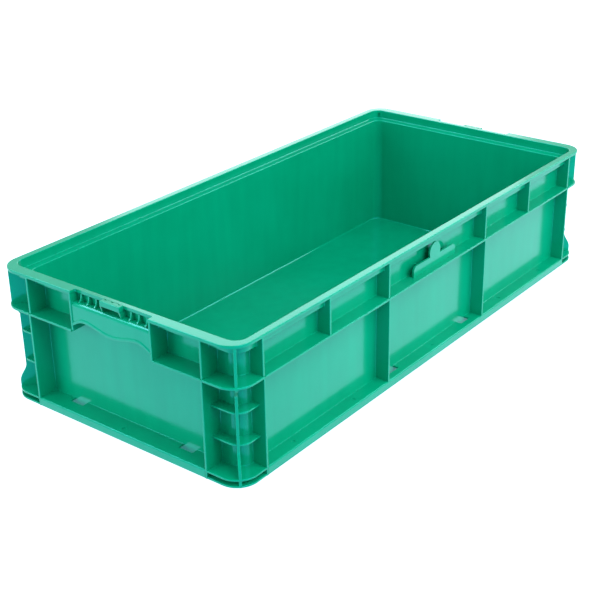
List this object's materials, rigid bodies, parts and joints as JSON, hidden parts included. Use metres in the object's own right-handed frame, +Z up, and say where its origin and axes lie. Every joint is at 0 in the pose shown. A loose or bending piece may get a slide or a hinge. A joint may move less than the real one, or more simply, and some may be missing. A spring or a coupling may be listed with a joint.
{
  "type": "stacking plastic crate",
  "caption": "Long shallow straight-walled stacking crate with a flanged rim, waist flange, upright ribs, braced corners, a ledged base and a hand grip at each end.",
  "frame": {"origin": "under the middle of the crate, on the plane it stands on", "axes": "+X along the crate towards the right-hand grip, +Y across it towards the rear long wall, +Z up"},
  "size_m": [0.813, 0.381, 0.19],
  "materials": {
    "green_plastic": "glossy moulded plastic, emerald green"
  },
  "bodies": {
    "root": {"floor_panel": "green_plastic", "badge_plate": "green_plastic", "wall_front": "green_plastic", "rim_front": "green_plastic", "waist_flange_front": "green_plastic", "base_ledge_front": "green_plastic", "base_skirt_front": "green_plastic", "upper_rib_front_1": "green_plastic", "upper_rib_front_2": "green_plastic", "upper_rib_front_3": "green_plastic", "upper_rib_front_4": "green_plastic", "lower_rib_front_1": "green_plastic", "lower_rib_front_2": "green_plastic", "wall_rear": "green_plastic", "rim_rear": "green_plastic", "waist_flange_rear": "green_plastic", "base_ledge_rear": "green_plastic", "base_skirt_rear": "green_plastic", "upper_rib_rear_1": "green_plastic", "upper_rib_rear_2": "green_plastic", "upper_rib_rear_3": "green_plastic", "upper_rib_rear_4": "green_plastic", "lower_rib_rear_1": "green_plastic", "lower_rib_rear_2": "green_plastic", "wall_left": "green_plastic", "rim_left": "green_plastic", "base_ledge_left": "green_plastic", "grip_shelf_left": "green_plastic", "grip_apron_left": "green_plastic", "latch_tab_left": "green_plastic", "wall_right": "green_plastic", "rim_right": "green_plastic", "base_ledge_right": "green_plastic", "grip_shelf_right": "green_plastic", "grip_apron_right": "green_plastic", "latch_tab_right": "green_plastic", "corner_post_front_left": "green_plastic", "rim_corner_front_left": "green_plastic", "corner_rib_side_front_left": "green_plastic", "corner_rib_end_front_left": "green_plastic", "grip_rib_front_left": "green_plastic", "waist_flange_front_left": "green_plastic", "corner_post_rear_left": "green_plastic", "rim_corner_rear_left": "green_plastic", "corner_rib_side_rear_left": "green_plastic", "corner_rib_end_rear_left": "green_plastic", "grip_rib_rear_left": "green_plastic", "waist_flange_rear_left": "green_plastic", "corner_post_front_right": "green_plastic", "rim_corner_front_right": "green_plastic", "corner_rib_side_front_right": "green_plastic", "corner_rib_end_front_right": "green_plastic", "grip_rib_front_right": "green_plastic", "waist_flange_front_right": "green_plastic", "corner_post_rear_right": "green_plastic", "rim_corner_rear_right": "green_plastic", "corner_rib_side_rear_right": "green_plastic", "corner_rib_end_rear_right": "green_plastic", "grip_rib_rear_right": "green_plastic", "waist_flange_rear_right": "green_plastic"}
  },
  "joints": []
}
